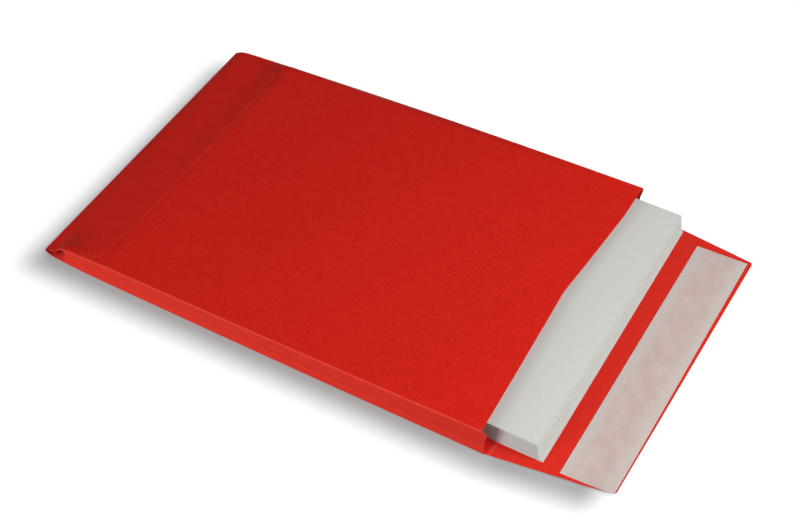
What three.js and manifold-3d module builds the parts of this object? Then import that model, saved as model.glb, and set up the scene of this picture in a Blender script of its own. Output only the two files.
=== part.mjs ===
// Side-gusseted pocket envelope of C4 size, standing open round a pile of A4 sheets
// Millimetres. X runs from the closed end to the open flap, Y across the pocket, Z up from the table.
// The envelope lies on its front, so the address window is underneath and the back panel is on top.
import * as THREE from 'three';
import { mergeVertices } from 'three/addons/utils/BufferGeometryUtils.js';
import Module from 'manifold-3d';

const wasm = await Module();
wasm.setup();

// Envelope paper
const paper = 0.2;

// Pocket: 229 by 324 flat, a little narrower once the filled gussets round off its side creases
const pocketLength = 324;
const pocketWidth = 226.5;
const sideBulge = 0.9;

// Height of the pocket, from the folded end up to the pile and on to the mouth
const closedEndHeight = 3.2;
const mouthHeight = 19.8;
const endWall = 0.6;

// Gussets: folded flat in at the closed end, standing almost upright further on
const gussetPanel = 10;
const gussetOpenLength = 17;
const gussetCreaseDepth = 0.8;

// The pile lies nearer to the far side, so the near crease stands higher there and the far one hangs lower
const nearCreaseRise = 1.2;
const farCreaseDip = 5;
const farGussetFold = 3.2;
const unevenPeak = 70;

// Mouth of the back panel and of the gussets
const throatDepth = 8.5;
const throatCorner = 3.2;
const throatOffset = 6.5;
const throatRounding = 12;
const gussetCorner = 1.6;
const gussetNotch = 1.2;

// Glue tab of the side seam, inside the back panel
const glueTabWidth = 14;
const glueTabInset = 12;

// Bottom flap, folded up over the closed end and glued on the back panel
const bottomFlapReach = 46.5;
const bottomFlapSideReach = 28;
const bottomFlapSideInset = 4;
const bottomFlapRadius = 9;

// Closure flap, open on the table
const closureFlapLength = 80;
const closureFlapTaper = 10.5;
const closureFlapRadius = 4;

// Window in the front panel, and its film
const windowWidth = 90;
const windowHeight = 55;
const windowFromSide = 20;
const windowFromMouth = 57;
const windowRadius = 5;
const film = 0.06;
const filmMargin = 10;

// Peel-and-seal strip on the closure flap
const adhesive = 0.1;
const adhesiveWidth = 25;
const adhesiveLength = 200;
const liner = 0.12;
const linerWidth = 33.6;
const linerLength = 204.5;
const linerFromMouth = 44.4;
const linerOffset = -1.2;

// Pile of A4 sheets, 210 by 297
const pileNearGap = 10.75;
const pileFarGap = 5.75;
const sheetLength = 297;
const pileThickness = 14.1;
const pileOutOfMouth = 27.4;
const pileLean = 1.6;
const pileFoot = 3.4;
const pileFootHeight = 4.6;
const pileClearance = 0.25;

// How finely the folded shell is cut up
const stations = 26;
const stationCrowding = 1.8;

// Materials
const material = (color, roughness) => new THREE.MeshStandardMaterial({ color, roughness, metalness: 0 });
const redPaper = material(0xc92a22, 0.75);
const clearFilm = material(0xe6eef0, 0.15);
clearFilm.transparent = true;
clearFilm.opacity = 0.3;
const tack = material(0xe6dcc0, 0.4);
const linerPaper = material(0xcbbeb7, 0.6);
const whitePaper = material(0xe8e9e4, 0.8);

// The body of closed geometry that joins and cuts work on
function solid(geometry) {
  const bare = geometry.clone();
  bare.deleteAttribute('normal');
  bare.deleteAttribute('uv');
  const merged = mergeVertices(bare, 1e-5);
  return new wasm.Manifold(new wasm.Mesh({
    numProp: 3,
    vertProperties: new Float32Array(merged.attributes.position.array),
    triVerts: new Uint32Array(merged.index.array),
  }));
}

function geometryOf(body) {
  const mesh = body.getMesh();
  const geometry = new THREE.BufferGeometry();
  geometry.setAttribute('position', new THREE.BufferAttribute(mesh.vertProperties, 3));
  geometry.setIndex(new THREE.BufferAttribute(mesh.triVerts, 1));
  geometry.computeVertexNormals();
  return geometry;
}

// An outline in plan, extruded from one height to another
function plate(shape, bottom, top, curveSegments = 6) {
  const geometry = new THREE.ExtrudeGeometry(shape, { depth: top - bottom, bevelEnabled: false, curveSegments });
  return geometry.translate(0, 0, bottom);
}

// A rectangle in plan from its corner, with rounded corners where a radius is given
function rectangle(x, y, length, width, radius = 0) {
  const shape = new THREE.Shape();
  shape.moveTo(x + radius, y);
  shape.lineTo(x + length - radius, y);
  if (radius) shape.absarc(x + length - radius, y + radius, radius, -Math.PI / 2, 0);
  shape.lineTo(x + length, y + width - radius);
  if (radius) shape.absarc(x + length - radius, y + width - radius, radius, 0, Math.PI / 2);
  shape.lineTo(x + radius, y + width);
  if (radius) shape.absarc(x + radius, y + width - radius, radius, Math.PI / 2, Math.PI);
  shape.lineTo(x, y + radius);
  if (radius) shape.absarc(x + radius, y + radius, radius, Math.PI, Math.PI * 1.5);
  return shape;
}

// Where the pile lies
const pileNear = pileNearGap - pocketWidth / 2;
const pileFar = pocketWidth / 2 - pileFarGap;
const pileStart = pocketLength + pileOutOfMouth - sheetLength;
const pileFloor = paper + film;
const heightOverPile = pileFloor + pileThickness + pileClearance + paper;

// Height of the back panel over the pile: it climbs from the folded end like a quarter wave,
// and goes on to the mouth in a straight slope
function roofHeight(x) {
  if (x < pileStart) {
    const climb = Math.sin((Math.PI / 2) * (x / pileStart));
    return closedEndHeight + (heightOverPile - closedEndHeight) * climb;
  }
  return heightOverPile + (mouthHeight - heightOverPile) * (x - pileStart) / (pocketLength - pileStart);
}

// Half of the pocket's width: the side creases bow out a little halfway along
function halfWidth(x) {
  return pocketWidth / 2 + sideBulge * Math.sin(Math.PI * Math.min(x, pocketLength) / pocketLength);
}

// How uneven the two sides are: nothing at both ends of the pocket, most at the pile's inner end
function unevenness(x) {
  const stretch = Math.log(0.5) / Math.log(unevenPeak / pocketLength);
  const place = THREE.MathUtils.clamp(x / pocketLength, 0, 1);
  return Math.sin(Math.PI * place ** stretch);
}

// Height of the top crease on the near side (-1) or the far side (1)
function creaseHeight(x, side) {
  return roofHeight(x) + unevenness(x) * (side < 0 ? nearCreaseRise : -farCreaseDip);
}

// How far the gusset's centre crease lies inside its side creases: folded flat in at the closed end,
// and pulled out until it is almost flush once the gusset stands
function creaseDepth(x, side) {
  const opened = THREE.MathUtils.smoothstep(x, 0, gussetOpenLength);
  const standing = gussetCreaseDepth + (side > 0 ? farGussetFold * unevenness(x) : 0);
  return THREE.MathUtils.lerp(gussetPanel, standing, opened);
}

// Place along X of a cross-section, closer together towards the folded end
function stationPlace(along, from, to) {
  if (along < 0.5 / stations) return from;
  if (along > 1 - 0.5 / stations) return to;
  return pocketLength * along ** stationCrowding;
}

// The pocket as a loft of its cross-sections, from one place along X to another. Inset moves every wall in
// by that much, measured square to the wall, so the same function gives the outside and the hollow.
// Across, a section has four columns: the two gussets, and the pile's two edges between them.
function pocketForm(from, to, inset, raise = 0) {
  const geometry = new THREE.BoxGeometry(2, 2, 2, stations, 3, 2);
  const places = geometry.attributes.position;
  for (let i = 0; i < places.count; i += 1) {
    const x = stationPlace((places.getX(i) + 1) / 2, from, to);
    const across = places.getY(i);
    const level = places.getZ(i);
    const side = Math.sign(across);
    const atGusset = Math.abs(across) > 0.9;
    const height = atGusset || side < 0 ? creaseHeight(x, side) : roofHeight(x);
    const half = height / 2;
    const z = half + level * (half - inset) + (level > 0 ? raise : 0);
    const fold = creaseDepth(x, side);
    const wall = inset * Math.hypot(fold, half) / half;
    const foldHere = fold * (1 - Math.abs(level) * (half - inset) / half);
    const gusset = halfWidth(x) - wall - foldHere;
    const pileEdge = Math.min(side < 0 ? -pileNear : pileFar, gusset - paper);
    places.setXYZ(i, x, side * (atGusset ? gusset : pileEdge), z);
  }
  return solid(geometry);
}

// Outline of the closure flap: it tapers from the mouth's full width, and its outer corners are rounded
function closureFlapShape() {
  const root = halfWidth(pocketLength);
  const tip = root - closureFlapTaper;
  const end = pocketLength + closureFlapLength;
  const shape = new THREE.Shape();
  shape.moveTo(pocketLength - endWall, -root);
  shape.lineTo(pocketLength, -root);
  shape.lineTo(end - closureFlapRadius, -tip);
  shape.quadraticCurveTo(end, -tip, end, -tip + closureFlapRadius);
  shape.lineTo(end, tip - closureFlapRadius);
  shape.quadraticCurveTo(end, tip, end - closureFlapRadius, tip);
  shape.lineTo(pocketLength, root);
  shape.lineTo(pocketLength - endWall, root);
  return shape;
}

// Outline of the bottom flap: full width at the fold, slanted sides, rounded corners, straight edge
function bottomFlapShape() {
  const root = pocketWidth / 2 + sideBulge;
  const edge = root - bottomFlapSideInset;
  const turn = bottomFlapReach - bottomFlapRadius;
  const shape = new THREE.Shape();
  shape.moveTo(0, -root);
  shape.lineTo(bottomFlapSideReach, -root);
  shape.lineTo(turn, -edge);
  shape.quadraticCurveTo(bottomFlapReach, -edge, bottomFlapReach, -edge + bottomFlapRadius);
  shape.lineTo(bottomFlapReach, edge - bottomFlapRadius);
  shape.quadraticCurveTo(bottomFlapReach, edge, turn, edge);
  shape.lineTo(bottomFlapSideReach, root);
  shape.lineTo(0, root);
  return shape;
}

// What is cut from the back panel at the mouth: a shallow V that leaves the gussets' full length
function throatShape() {
  const side = halfWidth(pocketLength) - paper;
  const corner = pocketLength - throatCorner;
  const bottom = pocketLength - throatDepth;
  const nearShare = throatRounding / (side + throatOffset);
  const farShare = throatRounding / (side - throatOffset);
  const shape = new THREE.Shape();
  shape.moveTo(pocketLength + 1, -side);
  shape.lineTo(corner, -side);
  shape.lineTo(THREE.MathUtils.lerp(bottom, corner, nearShare), throatOffset - throatRounding);
  shape.quadraticCurveTo(
    bottom,
    throatOffset,
    THREE.MathUtils.lerp(bottom, corner, farShare),
    throatOffset + throatRounding,
  );
  shape.lineTo(corner, side);
  shape.lineTo(pocketLength + 1, side);
  return shape;
}

// What is cut from both gussets at the mouth: a shallow hollow where the centre crease draws the edge in,
// and a slanted corner up to the end of the top crease
function gussetMouthBody() {
  const low = 2 * paper;
  const high = mouthHeight - gussetCorner;
  const corner = pocketLength - throatCorner + paper;
  const shape = new THREE.Shape();
  shape.moveTo(pocketLength + 1, low);
  shape.lineTo(pocketLength, low);
  shape.quadraticCurveTo(pocketLength - 2 * gussetNotch, (low + high) / 2, pocketLength, high);
  shape.lineTo(corner, mouthHeight - paper / 2);
  shape.lineTo(corner, mouthHeight + 1);
  shape.lineTo(pocketLength + 1, mouthHeight + 1);
  const width = pocketWidth + 2;
  const geometry = new THREE.ExtrudeGeometry(shape, { depth: width, bevelEnabled: false, curveSegments: 6 });
  geometry.rotateX(Math.PI / 2);
  geometry.translate(0, width / 2, 0);
  return solid(geometry);
}

function windowShape(margin) {
  return rectangle(
    pocketLength - windowFromMouth - windowHeight - margin,
    windowFromSide - pocketWidth / 2 - margin,
    windowHeight + 2 * margin,
    windowWidth + 2 * margin,
    margin ? 0 : windowRadius,
  );
}

// One blank of paper: pocket, flaps, glue tab and window
function envelope() {
  const beyond = pocketLength + 1;
  const tall = mouthHeight + 2;
  const outside = pocketForm(0, pocketLength, 0);
  const hollow = pocketForm(endWall, beyond, paper);
  const throatFloor = roofHeight(pocketLength - throatDepth) - 2 * paper;
  const throat = solid(plate(throatShape(), throatFloor, tall));

  const flapLayer = pocketForm(0, pocketLength, 0, paper);
  const bottomFlap = flapLayer.intersect(solid(plate(bottomFlapShape(), -1, tall)));

  const tabLayer = pocketForm(endWall, beyond, paper / 2).subtract(pocketForm(0, beyond + 1, 2 * paper));
  const tabStrip = rectangle(
    glueTabInset + pileStart,
    pocketWidth / 2 - glueTabWidth - paper,
    pocketLength - throatDepth - glueTabInset - pileStart,
    glueTabWidth,
  );
  const glueTab = tabLayer.intersect(solid(plate(tabStrip, pileThickness / 2, tall)));

  const body = outside
    .add(bottomFlap)
    .subtract(hollow)
    .subtract(throat)
    .subtract(gussetMouthBody())
    .add(glueTab)
    .add(solid(plate(closureFlapShape(), 0, paper)))
    .subtract(solid(plate(windowShape(0), -1, 1)));
  return geometryOf(body);
}

// A pile of sheets seen from its side: the lower sheets have slid out into a foot, the upper ones lean out
function paperStack() {
  const top = pileThickness;
  const outer = pocketLength + pileOutOfMouth;
  const inner = outer - sheetLength;
  const shape = new THREE.Shape();
  shape.moveTo(inner + pileLean + pileFoot, 0);
  shape.lineTo(outer + pileLean + pileFoot, 0);
  shape.quadraticCurveTo(outer + pileLean, pileFootHeight / 2, outer + pileLean, pileFootHeight);
  shape.lineTo(outer, top);
  shape.lineTo(inner, top);
  shape.lineTo(inner + pileLean, pileFootHeight);
  shape.quadraticCurveTo(inner + pileLean, pileFootHeight / 2, inner + pileLean + pileFoot, 0);
  const sheetWidth = pileFar - pileNear;
  const geometry = new THREE.ExtrudeGeometry(shape, { depth: sheetWidth, bevelEnabled: false, curveSegments: 6 });
  geometry.rotateX(Math.PI / 2);
  geometry.translate(0, pileFar, pileFloor);
  return geometry;
}

const linerStart = pocketLength + linerFromMouth;
const linerShape = rectangle(linerStart, linerOffset - linerLength / 2, linerWidth, linerLength);
const adhesiveShape = rectangle(
  linerStart + (linerWidth - adhesiveWidth) / 2,
  linerOffset - adhesiveLength / 2,
  adhesiveWidth,
  adhesiveLength,
);

const group = new THREE.Group();

function addPiece(name, geometry, look) {
  const mesh = new THREE.Mesh(geometry, look);
  mesh.name = name;
  group.add(mesh);
}

addPiece('envelope', envelope(), redPaper);
addPiece('window_film', plate(windowShape(filmMargin), paper, paper + film), clearFilm);
addPiece('adhesive_strip', plate(adhesiveShape, paper, paper + adhesive), tack);
addPiece('release_liner', plate(linerShape, paper + adhesive, paper + adhesive + liner), linerPaper);
addPiece('paper_stack', paperStack(), whitePaper);

// The origin is under the middle of the whole length, on the table
group.position.x = -(pocketLength + closureFlapLength) / 2;

export default group;
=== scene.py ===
import math

import bmesh
import bpy
import numpy as np
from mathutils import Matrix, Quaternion, Vector


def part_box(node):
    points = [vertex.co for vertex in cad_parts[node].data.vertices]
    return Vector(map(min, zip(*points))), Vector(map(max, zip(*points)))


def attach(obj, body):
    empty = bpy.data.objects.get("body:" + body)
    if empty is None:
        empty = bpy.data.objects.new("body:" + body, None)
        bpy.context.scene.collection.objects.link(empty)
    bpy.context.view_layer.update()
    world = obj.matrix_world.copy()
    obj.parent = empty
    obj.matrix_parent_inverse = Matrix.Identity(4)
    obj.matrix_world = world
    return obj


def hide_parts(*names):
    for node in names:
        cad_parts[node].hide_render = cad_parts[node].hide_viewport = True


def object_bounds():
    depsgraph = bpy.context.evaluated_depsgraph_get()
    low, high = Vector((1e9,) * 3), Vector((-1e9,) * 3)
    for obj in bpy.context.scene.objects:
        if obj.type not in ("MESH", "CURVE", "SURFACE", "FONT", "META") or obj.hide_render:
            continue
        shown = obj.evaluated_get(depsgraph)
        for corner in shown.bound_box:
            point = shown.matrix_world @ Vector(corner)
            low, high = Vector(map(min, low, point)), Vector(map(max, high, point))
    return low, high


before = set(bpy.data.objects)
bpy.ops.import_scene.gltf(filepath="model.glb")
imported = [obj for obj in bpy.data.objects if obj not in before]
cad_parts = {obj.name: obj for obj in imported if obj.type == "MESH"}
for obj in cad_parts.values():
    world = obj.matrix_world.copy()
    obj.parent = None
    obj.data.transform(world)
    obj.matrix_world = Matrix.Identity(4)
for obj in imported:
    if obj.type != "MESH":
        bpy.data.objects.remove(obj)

CAD_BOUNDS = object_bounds()

# Side-gusseted pocket envelope of C4 size, standing open round a pile of white sheets.
# Lengths are millimetres until a mesh is made, and metres for the stage. X is counted from the closed
# end to the mouth and on over the open flap, Y goes across the pocket, Z goes up from the table.
MM = 0.001
CLOSED_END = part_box("envelope")[0].x / MM

# Envelope paper: its thickness, and how far the creases are rounded off
PAPER = 0.2
CREASE = 0.55
CENTRE_CREASE = 0.4

# Pocket
LENGTH = 324.0
WIDTH = 226.5
SIDE_BULGE = 0.9
SIDE_BULGE_BEYOND = 60.0
FRONT_PANEL_LIP = 0.75
FRONT_PANEL_LIP_LENGTH = 45.0
CLOSED_HEIGHT = 2.8
MOUTH_HEIGHT = 19.8
FAR_MOUTH_RISE = 0.4
FOLD_DEPTH = 1.0
FOLD_OVERHANG = 0.9
NEAR_TUCK = 1.8
NEAR_TUCK_REACH = 6.0

# Low waves of the back panel, each as its height, its lengths along and across for one radian, its start
ROOF_WAVES = ((0.16, 21.0, 47.0, 0.0), (0.12, 13.0, -29.0, 1.0))
ROOF_WAVES_START = 20.0
ROOF_WAVES_FULL = 60.0

# Gussets
GUSSET_PANEL = 10.0
GUSSET_CREASE_SHARE = 0.3
GUSSET_SHUT_LENGTH = 7.0
GUSSET_OPEN_LENGTH = 22.0
GUSSET_CREASE_DEPTH = 0.4
NEAR_CREASE_RISE = 0.4
NEAR_POP = 4.3
NEAR_POP_START = 8.0
NEAR_POP_FULL = 15.0
NEAR_POP_FADE = 15.0
NEAR_POP_WIDTH = 12.0
FAR_CREASE_START = 6.6
FAR_CREASE_BOW = 1.3
FAR_CREASE_SPRING = 4.0
FAR_GUSSET_FOLD = 2.6
UNEVEN_PEAK = 70.0
LOOSE_END = 25.0

# Mouth
THROAT_DEPTH = 8.4
THROAT_CORNER = 3.0
THROAT_OFFSET = 6.5
THROAT_ROUNDING = 3.0
THROAT_FAR_REACH = 76.0
THROAT_BEND = 0.88
GUSSET_CORNER = 1.6
GUSSET_NOTCH = 1.4
GUSSET_LEAN = 0.8
FAR_GUSSET_LEAN_SHARE = 0.6

# Bottom flap
BOTTOM_FLAP_REACH = 46.5
BOTTOM_FLAP_NEAR_REACH = 31.0
BOTTOM_FLAP_NEAR_INSET = 2.6
BOTTOM_FLAP_NEAR_RADIUS = 10.0
BOTTOM_FLAP_FAR_REACH = 12.0
BOTTOM_FLAP_FAR_INSET = 11.8
BOTTOM_FLAP_FAR_RADIUS = 6.5
BOTTOM_FLAP_GAP = 0.05
BOTTOM_FLAP_LIFT = 0.5
BOTTOM_FLAP_LIFT_START = 24.0
BOTTOM_FLAP_LIFT_INNER = 60.0
BOTTOM_FLAP_LIFT_OUTER = 105.0

# Closure flap, with the score that its fold has left beside the mouth
CLOSURE_FLAP_LENGTH = 79.7
CLOSURE_FLAP_SKEW = 1.2
CLOSURE_FLAP_NEAR_TAPER = 10.6
CLOSURE_FLAP_FAR_TAPER = 9.0
CLOSURE_FLAP_RADIUS = 2.5
FLAP_EDGE_LIFT = 0.3
FLAP_CORNER_LIFT = 0.7
FLAP_CORNER_START = 20.0
FLAP_WAVE = 0.15
FLAP_WAVE_LENGTH = 31.0
SCORE_PLACE = 2.4
SCORE_HEIGHT = 0.14
SCORE_WIDTH = 0.55
SCORE_WEAR_AND_HIGHLIGHT_WIDTH = 0.8

# Glue tab of the side seam
GLUE_TAB_WIDTH = 14.0
GLUE_TAB_INSET = 12.0

# Window in the front panel
WINDOW_WIDTH = 90.0
WINDOW_HEIGHT = 55.0
WINDOW_FROM_SIDE = 20.0
WINDOW_FROM_MOUTH = 57.0
WINDOW_RADIUS = 5.0

# Pile of sheets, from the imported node
PILE_LOW, PILE_HIGH = (np.array(corner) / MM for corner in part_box("paper_stack"))
PILE_LEAN = 1.6
PILE_LEAN_TOP = 15.0
PILE_NEAR_FOOT = 3.4
PILE_FAR_FOOT = 1.7
PILE_FOOT_HEIGHT = 5.2
PILE_START = PILE_LOW[0] - CLOSED_END
ABOVE_PILE_GAP = 0.25
BESIDE_PILE_GAP = 0.2
OVER_PILE = PILE_HIGH[2] + ABOVE_PILE_GAP + PAPER
BESIDE_PILE = PILE_HIGH[1] + BESIDE_PILE_GAP
SHEET_SLACK = 0.35
SHEET_LENGTH = 297.0
SHEET = 0.1
SHEET_FILL = 0.97

# How single sheets stray: waves up the pile, each as its size, its turns and its start, and chance
STRAY_WAVES = ((0.16, 23.0, 0.0), (0.1, 57.0, 1.0))
STRAY_OUT = 0.6
STRAY_ASIDE = 0.5
STRAY_CHANCE = 0.07
STRAY_CHANCE_ASIDE = 0.6

# Release liner: its ends, each as its inner and its outer corner, how it stands off the flap, and its
# greyish margins. The buckle is a sum of waves, each as its share, its length for one radian, its start.
LINER_NEAR_END = ((368.0, -104.8), (401.8, -104.1))
LINER_FAR_END = ((367.7, 100.6), (402.0, 101.5))
LINER_BUCKLE = 0.1
LINER_BUCKLE_WAVES = ((1.0, 17.0, 0.0), (0.6, 7.3, 2.0))
LINER_CURL = 0.9
LINER_CURL_REACH = 9.0
LINER_MARGIN_START = 0.1
LINER_MARGIN_END = 0.6

# Paleness of the red paper, from 0 for its plain colour to 1 for the pale one: real wear with a painted
# highlight on the creases and folds, and a painted sheen on the gusset walls and the open flap. Also the
# sheets' tones, from 0 for dark to 1 for light
CREASE_WEAR_AND_HIGHLIGHT = 0.8
GUSSET_PAINTED_SHEEN = 0.38
FOLD_WEAR_AND_HIGHLIGHT = 0.5
FLAP_PAINTED_SHEEN = 0.2
SHEET_TONE = 0.62
SHEET_TONE_SPREAD = 0.15
TOP_SHEET_TONE = 0.75

# How finely the sheets are divided, how near two points are one, and from which angle an edge is sharp
WELD = 0.02
SHARP_ANGLE = 38.0
ARC_STEPS = 9
CORNER_POINTS = 4
EVEN_COLUMNS = 60
CLOSE_ROWS = 36
CLOSE_ROWS_BEYOND = 3.0
FURTHER_ROWS = 100
FOLD_ROWS = 11
FOLD_WEAR_AND_HIGHLIGHT_ROWS = slice(3, 9)
BOTTOM_FLAP_ROWS = 40
SCORE_ROWS = 15
SCORE_ROWS_SHARE = 0.0625
CLOSURE_FLAP_ROWS = 38
GLUE_TAB_ROWS = 60
GLUE_TAB_COLUMNS = 6
STRIP_ROWS = 14
STRIP_COLUMNS = 90
WINDOW_SNAP = 1.818

# Camera, from the perspective of the photograph: where it stands, what it looks along and its lens
CAMERA_PLACE = (0.3584, -0.61558, 0.77192)
CAMERA_AZIMUTH = 30.212
CAMERA_ELEVATION = 47.548
CAMERA_ROLL = -0.672
CAMERA_LENS = 72.664

# Light, and the floor with its painted soft shadow
AMBIENT = 0.17
FLOOR_SIZE = 6.0
FLOOR_TONE = 0.1
FLOOR_GLOW = 0.86
FLOOR_HEIGHT = -0.0002
SHADE_SHIFT_X = -0.0085
SHADE_SHIFT_Y = -0.0148
SHADE_BLUR = 0.013
SHADE_DEPTH = 0.67
SHADE_FLAP_SHARE = 1.17

RANDOM = np.random.default_rng(4)


def smoothstep(value, start, end):
    """Rises from 0 at start to 1 at end as 3t squared less 2t cubed."""
    t = np.clip((value - start) / (end - start), 0.0, 1.0)
    return t * t * (3.0 - 2.0 * t)


def mix(a, b, share):
    """The value that lies at share of the way from a to b."""
    return a + (b - a) * share


def near_pop(x):
    """How far the near crease pops up where the glued end stops: a smooth step up, then a bell curve
    down."""
    past = np.maximum(x - NEAR_POP_FULL, 0.0) / NEAR_POP_FADE
    return NEAR_POP * smoothstep(x, NEAR_POP_START, NEAR_POP_FULL) * np.exp(-past ** 2)


def roof_height(x):
    """Height of the back panel over the pile: a quarter sine wave up from the fold, then a straight
    slope."""
    climb = np.sin(math.pi / 2 * np.clip(x / PILE_START, 0.0, 1.0))
    rising = CLOSED_HEIGHT + (OVER_PILE - CLOSED_HEIGHT) * climb
    slope = OVER_PILE + (MOUTH_HEIGHT - OVER_PILE) * (x - PILE_START) / (LENGTH - PILE_START)
    return np.where(x < PILE_START, rising, slope)


def half_width(x):
    """Half of the pocket's width: part of a sine wave bows the side creases out."""
    bow = np.sin(math.pi * np.clip(x, 0.0, LENGTH) / (LENGTH + SIDE_BULGE_BEYOND))
    return WIDTH / 2 + SIDE_BULGE * bow


def near_side(x):
    """Place across of the near crease: half the width, less what is tucked in at the folded end."""
    return NEAR_TUCK * np.exp(-x / NEAR_TUCK_REACH) - half_width(x)


def unevenness(x):
    """How uneven the two sides are: half a sine wave, its peak drawn towards the pile's inner end."""
    stretch = math.log(0.5) / math.log(UNEVEN_PEAK / LENGTH)
    return np.sin(math.pi * np.clip(x / LENGTH, 0.0, 1.0) ** stretch)


def near_height(x):
    """Height of the near top crease: the roof's height plus its share of the unevenness and its pop."""
    return roof_height(x) + NEAR_CREASE_RISE * unevenness(x) + near_pop(x)


def far_height(x):
    """Height of the far top crease: a line up to the mouth, bowed by half a sine wave, which a short curve
    joins to the fold."""
    straight = mix(FAR_CREASE_START, MOUTH_HEIGHT + FAR_MOUTH_RISE, x / LENGTH)
    bowed = straight + FAR_CREASE_BOW * np.sin(math.pi * np.clip(x, 0.0, LENGTH) / LENGTH)
    return bowed - (FAR_CREASE_START - CLOSED_HEIGHT) * np.exp(-x / FAR_CREASE_SPRING)


def crease_depth(x, far):
    """How far a gusset's centre crease lies inside: a full panel at the fold, eased to almost nothing."""
    standing = GUSSET_CREASE_DEPTH + (FAR_GUSSET_FOLD * unevenness(x) if far else 0.0)
    return mix(GUSSET_PANEL, standing, smoothstep(x, GUSSET_SHUT_LENGTH, GUSSET_OPEN_LENGTH))


def roof_at(x, y):
    """Height of the back panel at any place. Over the pile it runs straight from the near crease, and then
    down to the far crease in an S. Where it is loose, it goes from crease to crease. The near crease's pop
    dies out inwards as a bell curve."""
    half = half_width(x)
    near = near_side(x)
    near_level = near_height(x) - near_pop(x)
    to_pile_edge = np.clip((y - near) / (BESIDE_PILE - near), 0.0, 1.0)
    over_pile = mix(near_level, roof_height(x), to_pile_edge)
    over_pile = mix(over_pile, far_height(x), smoothstep(y, BESIDE_PILE, half))
    loose = mix(near_level, far_height(x), np.clip((y - near) / (half - near), 0.0, 1.0))
    pop = near_pop(x) * np.exp(-((y - near) / NEAR_POP_WIDTH) ** 2)
    return mix(loose, over_pile, smoothstep(x, LOOSE_END, PILE_START)) + pop


def paper_waves(x, y):
    """Very low waves of the loose back panel: a sum of slanting sine waves, nothing at the creases."""
    across = np.clip(1.0 - (2.0 * y / WIDTH) ** 2, 0.0, 1.0)
    waves = sum(
        height * np.sin(x / along + y / aside + start) for height, along, aside, start in ROOF_WAVES
    )
    return waves * across * smoothstep(x, ROOF_WAVES_START, ROOF_WAVES_FULL)


def roof_mouth(y):
    """Where the back panel ends at the mouth: a shallow V whose point is rounded by a hyperbola."""
    away = np.sqrt((y - THROAT_OFFSET) ** 2 + THROAT_ROUNDING ** 2) - THROAT_ROUNDING
    side = np.where(y < THROAT_OFFSET, WIDTH / 2 + THROAT_OFFSET, THROAT_FAR_REACH)
    share = np.clip(away / side, 0.0, 1.0) ** THROAT_BEND
    return LENGTH - THROAT_DEPTH + (THROAT_DEPTH - THROAT_CORNER) * share


def gusset_mouth(z, far):
    """Where a gusset ends at the mouth: a cubic that draws the edge in a third of the way up, by 27/4 of
    s(1 - s) squared, and leans it out above, then a slanted corner up to the end of the top crease. The
    far one leans back instead."""
    high = MOUTH_HEIGHT - GUSSET_CORNER
    share = np.clip(z / high, 0.0, 1.0)
    notch = GUSSET_NOTCH * 27.0 / 4.0 * share * (1.0 - share) ** 2
    hollow = LENGTH - notch + GUSSET_LEAN * share ** 2
    if far:
        return hollow - THROAT_CORNER * smoothstep(z, 0.0, FAR_GUSSET_LEAN_SHARE * MOUTH_HEIGHT)
    corner = np.clip((z - high) / GUSSET_CORNER, 0.0, 1.0)
    slant = mix(LENGTH + GUSSET_LEAN, LENGTH - THROAT_CORNER, corner)
    return np.where(z < high, hollow, slant)


def grid_faces(rows, columns, first=0):
    """The quads of a grid of rows by columns of vertices, which are numbered row by row."""
    start = first + np.arange(rows - 1)[:, None] * columns + np.arange(columns - 1)[None, :]
    return np.stack([start, start + 1, start + columns + 1, start + columns], -1).reshape(-1, 4)


class Sheets:
    """Grids of points gathered into one mesh, with a share from 0 to 1 at every point that blends two
    colours. On the envelope it is real wear with painted highlights and a painted sheen, and on the liner
    it marks its margins.
    """

    def __init__(self):
        self.points = []
        self.faces = []
        self.wear = []
        self.count = 0

    def add(self, x, y, z, wear=0.0, keep=None, turned=False):
        """Adds a grid. Turned swaps the side that its faces look to. Keep says which quads stay."""
        rows, columns = np.shape(x)
        faces = grid_faces(rows, columns, self.count)
        if keep is not None:
            faces = faces[keep.reshape(-1)]
        if turned:
            faces = faces[:, ::-1]
        self.points.append(np.stack([x + CLOSED_END, y, z], -1).reshape(-1, 3) * MM)
        self.wear.append(np.broadcast_to(wear, np.shape(x)).reshape(-1))
        self.faces.append(faces)
        self.count += rows * columns

    def build(self, name):
        """Makes the mesh object, merges points that are one and drops those without a face."""
        mesh = bpy.data.meshes.new(name)
        mesh.from_pydata(np.concatenate(self.points), [], np.concatenate(self.faces).tolist())
        wear = mesh.attributes.new("wear", "FLOAT", "POINT")
        wear.data.foreach_set("value", np.concatenate(self.wear).astype(np.float32))
        whole = bmesh.new()
        whole.from_mesh(mesh)
        bmesh.ops.remove_doubles(whole, verts=whole.verts, dist=WELD * MM)
        loose = [vertex for vertex in whole.verts if not vertex.link_faces]
        bmesh.ops.delete(whole, geom=loose, context="VERTS")
        whole.to_mesh(mesh)
        whole.free()
        thing = bpy.data.objects.new(name, mesh)
        bpy.context.scene.collection.objects.link(thing)
        return thing


def thicken(thing, thickness):
    """Gives a sheet its thickness behind its faces, makes that real, and keeps its cut edges sharp."""
    solidify = thing.modifiers.new("thickness", "SOLIDIFY")
    solidify.thickness = thickness * MM
    solidify.offset = -1.0
    solidify.material_offset_rim = 1
    plain = thing.data
    finished = bpy.data.meshes.new_from_object(
        thing.evaluated_get(bpy.context.evaluated_depsgraph_get())
    )
    thing.modifiers.clear()
    thing.data = finished
    bpy.data.meshes.remove(plain)
    finished.name = thing.name
    finished.shade_smooth()
    finished.set_sharp_from_angle(angle=math.radians(SHARP_ANGLE))


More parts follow.
